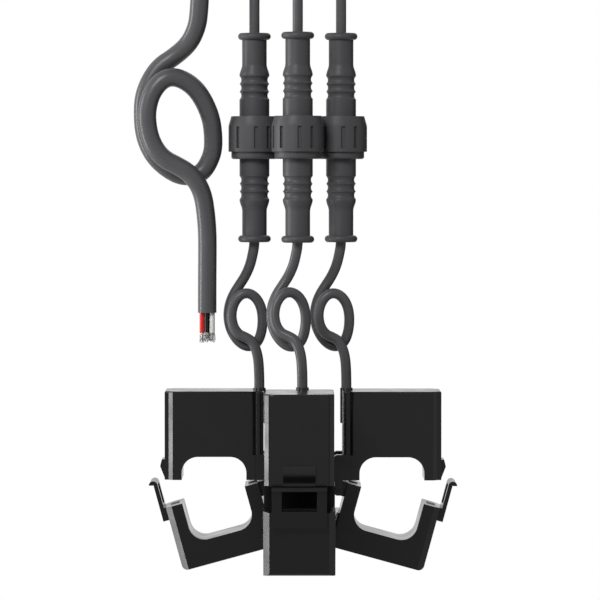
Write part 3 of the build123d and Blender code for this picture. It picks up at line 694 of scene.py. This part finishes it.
def bare_wires(radius, material):
    """Fine tinned wires that stand for the plain bare ends, spread a little and cut unevenly."""
    chance = random.Random(WIRE_SEED)
    hidden = radius * WIRE_IN_CORE
    strands_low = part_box("supply_strands")[0]
    deselect()
    first = one_wire(radius, 1.0)
    wires = []
    for colour in CORES:
        low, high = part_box(f"supply_core_{colour}")
        middle = (low + high) / 2
        for i in range(WIRE_COUNT):
            out = radius * math.sqrt(2 * i)
            share = math.sqrt(i / WIRE_COUNT)
            angle = i * WIRE_TURN
            wire = first.copy()
            wire.data = first.data.copy()
            bpy.context.collection.objects.link(wire)
            side = Vector((math.cos(angle), math.sin(angle), 0)) * out
            wire.location = Vector((middle.x, middle.y, low.z + hidden)) + side
            wire.rotation_euler = (0, -chance.uniform(0, WIRE_LEAN) * share, angle)
            wire.scale.z = low.z - strands_low.z + hidden - chance.uniform(0, WIRE_UNEVEN)
            wires.append(wire)
    bpy.data.objects.remove(first)
    deselect()
    for wire in wires:
        wire.select_set(True)
    bpy.context.view_layer.objects.active = wires[0]
    bpy.ops.object.join()
    bpy.ops.object.transform_apply(location=True, rotation=True, scale=True)
    bpy.ops.object.shade_smooth_by_angle(angle=WIRE_SMOOTH)
    piece = bpy.context.object
    piece.name = "bare_wires"
    paint(piece, material)
    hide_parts("supply_strands")
    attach(piece, "monitor")
    return piece


class MONITOR_OT_supply_lead(bpy.types.Operator):
    """Lays the supply lead, its three cores and their bare wires"""

    bl_idname = "monitor.supply_lead"
    bl_label = "Supply lead"

    def execute(self, context):
        size = context.scene.monitor_sizes
        look = materials()
        points = [(SUPPLY_X, -BACK_ROW, BOX_FOOT + CORD_IN_BOX)]
        points += [(SUPPLY_X + x, y - BACK_ROW, GLAND_FOOT + z) for x, y, z in SUPPLY_ROUTE]
        lead = cord_piece(
            "supply_lead_line", points, size.supply_radius, look["jacket"], "monitor", "supply_lead"
        )
        wires = bare_wires(size.wire_radius, look["strand"])
        for colour in CORES:
            finish_node(f"supply_core_{colour}", look[colour])
        return {"FINISHED"}


class MONITOR_OT_sensor_leads(bpy.types.Operator):
    """Lays the three upper tails and the three looped sensor leads"""

    bl_idname = "monitor.sensor_leads"
    bl_label = "Sensor leads"

    def execute(self, context):
        size = context.scene.monitor_sizes
        look = materials()
        nodes = frame["nodes"]
        for side in SIDES:
            low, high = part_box(f"tail_{side}")
            x, y = ((low + high) / 2 / MM)[:2]
            top, foot = BOX_FOOT + CORD_IN_BOX, BOOT_TOP - CORD_IN_BOOT
            tail = cord_piece(
                f"tail_line_{side}",
                [(x, y, top), (x, y, (top + foot) / 2), (x, y, foot)],
                size.sensor_radius,
                look["thin_jacket"],
                "monitor",
                f"tail_{side}",
            )
            sockets = ["socket_halves", "socket_contacts"] if side == SIDES[0] else ["socket_halves"]
            self.hang(tail, (x, y, GLAND_FOOT), TAIL_LENGTH, "connector", [nodes[node] for node in sockets])
            lead = cord_piece(
                f"sensor_line_{side}",
                self.route(x, y, *SENSORS[side]),
                size.sensor_radius,
                look["thin_jacket"],
                f"sensor_{side}",
                f"sensor_lead_{side}",
            )
            kinds = ("plug", "coupling_nut", "plug_seal", "plug_contacts")
            self.hang(
                lead, (x, y, PLUG_FOOT), SENSOR_LENGTH, "object", [nodes[f"{kind}_{side}"] for kind in kinds]
            )
        return {"FINISHED"}

    def hang(self, lead, place, length, far_end, pieces):
        """Does nothing: it takes a sensor lead or a tail and the place it hangs from, and leaves them as
        they are.
        """

    def route(self, x, y, forward, aside, shorter):
        """The looped line from inside the plug's boot to inside the clamp.

        Its shift forward and aside to the clamp grows from the second point to the last but two.
        """
        first, last = 1, len(SENSOR_ROUTE) - 3
        points = [(x, y, PLUG_FOOT + CORD_IN_BOOT)]
        for i, (across, depth, height) in enumerate(SENSOR_ROUTE):
            share = min(max((i - first) / (last - first), 0), 1)
            points.append(
                (
                    x + across + aside * share,
                    y + depth - forward * share,
                    PLUG_FOOT + height + shorter * share,
                )
            )
        end_x, end_y, end_z = points.pop()
        return points + [(end_x, end_y, end_z - CORD_IN_CLAMP)]


class MONITOR_OT_connectors(bpy.types.Operator):
    """Finishes the plugs, sockets, coupling nuts, seals and contacts"""

    bl_idname = "monitor.connectors"
    bl_label = "Connectors"

    def execute(self, context):
        look = materials()
        rounding = context.scene.monitor_sizes.moulding_round
        softened("socket_halves", look["connector"], rounding)
        finish_node("socket_contacts", look["contact"])
        for side in SIDES:
            softened(f"plug_{side}", look["connector"], rounding)
            finish_node(f"plug_seal_{side}", look["seal"])
            finish_node(f"plug_contacts_{side}", look["contact"])
            softened(f"coupling_nut_{side}", look["connector"], rounding)
        return {"FINISHED"}


class MONITOR_OT_clamps(bpy.types.Operator):
    """Rounds the clamp mouldings and finishes the cores, coils and pins"""

    bl_idname = "monitor.clamps"
    bl_label = "Clamps"

    def execute(self, context):
        look = materials()
        rounding = context.scene.monitor_sizes.moulding_round
        for side in SIDES:
            softened(f"clamp_case_{side}", look["clamp"], rounding)
            softened(f"clamp_cover_{side}", look["clamp"], rounding)
            softened(f"jaw_{side}", look["jaw"], rounding)
            finish_node(f"clamp_core_{side}", look["ferrite"])
            finish_node(f"jaw_core_{side}", look["ferrite"])
            finish_node(f"clamp_coil_{side}", look["coil"])
            finish_node(f"hinge_pin_{side}", look["pin"])
        return {"FINISHED"}


class MONITOR_OT_box(bpy.types.Operator):
    """Finishes the wall box, its glands and what it holds"""

    bl_idname = "monitor.box"
    bl_label = "Wall box"

    def execute(self, context):
        look = materials()
        rounding = context.scene.monitor_sizes.box_round
        for node in ("housing_base", "housing_cover"):
            softened(node, look["shell"], rounding)
        for node in ("gland_nuts", "gland_bodies", "gland_locknuts"):
            softened(node, look["gland"], rounding)
        finishes = {
            "cover_gasket": "seal",
            "cover_screws": "steel",
            "circuit_board": "board",
            "power_module": "module",
            "radio_module": "shield",
            "terminal_block": "terminal",
            "light_pipe": "light",
            "setup_button": "button",
            "gland_seals": "seal",
        }
        for node, finish in finishes.items():
            finish_node(node, look[finish])
        return {"FINISHED"}


class MONITOR_PT_panel(bpy.types.Panel):
    """Lists the steps that dress the monitor"""

    bl_idname = "MONITOR_PT_panel"
    bl_label = "Energy Monitor"
    bl_space_type = "VIEW_3D"
    bl_region_type = "UI"
    bl_category = "Energy Monitor"

    def draw(self, context):
        for group in (context.scene.monitor_sizes, context.scene.monitor_colours):
            for name in group.__annotations__:
                self.layout.prop(group, name)
        for operator in OPERATORS:
            self.layout.operator(operator.bl_idname)


OPERATORS = (
    MONITOR_OT_stage,
    MONITOR_OT_supply_lead,
    MONITOR_OT_sensor_leads,
    MONITOR_OT_connectors,
    MONITOR_OT_clamps,
    MONITOR_OT_box,
)
CLASSES = (MonitorSizes, MonitorColours, *OPERATORS, MONITOR_PT_panel)


def register():
    for item in CLASSES:
        bpy.utils.register_class(item)
    bpy.types.Scene.monitor_sizes = bpy.props.PointerProperty(type=MonitorSizes)
    bpy.types.Scene.monitor_colours = bpy.props.PointerProperty(type=MonitorColours)


def unregister():
    del bpy.types.Scene.monitor_sizes
    del bpy.types.Scene.monitor_colours
    for item in reversed(CLASSES):
        bpy.utils.unregister_class(item)


def main():
    register()
    bpy.ops.monitor.stage()
    bpy.ops.monitor.supply_lead()
    bpy.ops.monitor.sensor_leads()
    bpy.ops.monitor.connectors()
    bpy.ops.monitor.clamps()
    bpy.ops.monitor.box()


if __name__ == "__main__":
    main()
